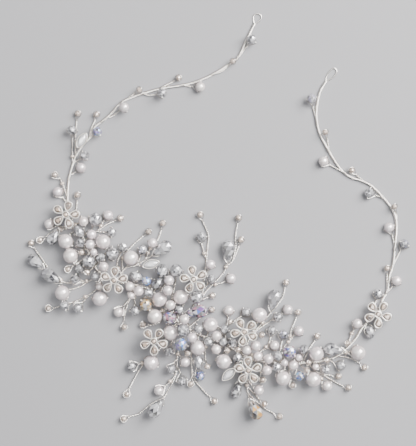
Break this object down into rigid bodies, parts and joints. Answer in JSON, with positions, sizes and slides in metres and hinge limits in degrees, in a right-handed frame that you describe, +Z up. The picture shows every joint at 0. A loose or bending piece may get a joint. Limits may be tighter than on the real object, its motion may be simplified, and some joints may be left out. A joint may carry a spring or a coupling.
{
  "type": "hair vine",
  "caption": "Bendable bridal hair vine laid in a wide C: twisted wire set with pearls, cut crystals, drops and rhinestone flowers on short stalks, with a small loop at each end.",
  "frame": {"origin": "centre of the laid vine's outline, at the surface it lies on", "axes": "+X to the right and +Y away as the vine lies with the C open to the top, +Z up"},
  "size_m": [0.1542, 0.165, 0.0112],
  "materials": {
    "wire": "bright silver-plated craft wire",
    "setting": "polished silver-plated cast setting",
    "pearl": "ivory pearl lustre",
    "crystal": "faceted clear crystal, some with a faint iridescent coat",
    "rhinestone": "foiled faceted clear rhinestone"
  },
  "bodies": {
    "root": {"wire_left": "wire", "wire_right": "wire", "large_pearl_1": "pearl", "large_pearl_2": "pearl", "large_pearl_3": "pearl", "large_pearl_4": "pearl", "large_pearl_5": "pearl", "large_pearl_6": "pearl", "large_pearl_7": "pearl", "large_pearl_8": "pearl", "large_pearl_9": "pearl", "large_pearl_10": "pearl", "large_pearl_11": "pearl", "large_pearl_12": "pearl", "large_pearl_13": "pearl", "large_pearl_14": "pearl", "large_pearl_15": "pearl", "large_pearl_16": "pearl", "large_pearl_17": "pearl", "large_pearl_18": "pearl", "large_pearl_19": "pearl", "drop_crystal_1": "crystal", "drop_crystal_2": "crystal", "drop_crystal_3": "crystal", "drop_crystal_4": "crystal", "drop_crystal_5": "crystal", "drop_crystal_6": "crystal", "drop_crystal_7": "crystal", "drop_crystal_8": "crystal", "drop_crystal_9": "crystal", "drop_crystal_10": "crystal", "drop_crystal_11": "crystal", "flower_1": "setting", "flower_2": "setting", "flower_3": "setting", "flower_4": "setting", "flower_5": "setting", "flower_6": "setting", "flower_7": "setting", "navette_setting_1": "setting", "navette_setting_2": "setting", "navette_setting_3": "setting", "navette_stone_1": "rhinestone", "navette_stone_2": "rhinestone", "navette_stone_3": "rhinestone", "flower_stones_left": "rhinestone", "flower_stones_right": "rhinestone", "small_pearls_left": "pearl", "small_pearls_middle": "pearl", "small_pearls_right": "pearl", "large_crystals_left": "crystal", "large_crystals_middle": "crystal", "large_crystals_right": "crystal", "small_crystals_left": "crystal", "small_crystals_middle": "crystal", "small_crystals_right": "crystal", "tip_crystals_left": "crystal", "tip_crystals_middle": "crystal", "tip_crystals_right": "crystal", "oval_crystals": "crystal"}
  },
  "joints": []
}
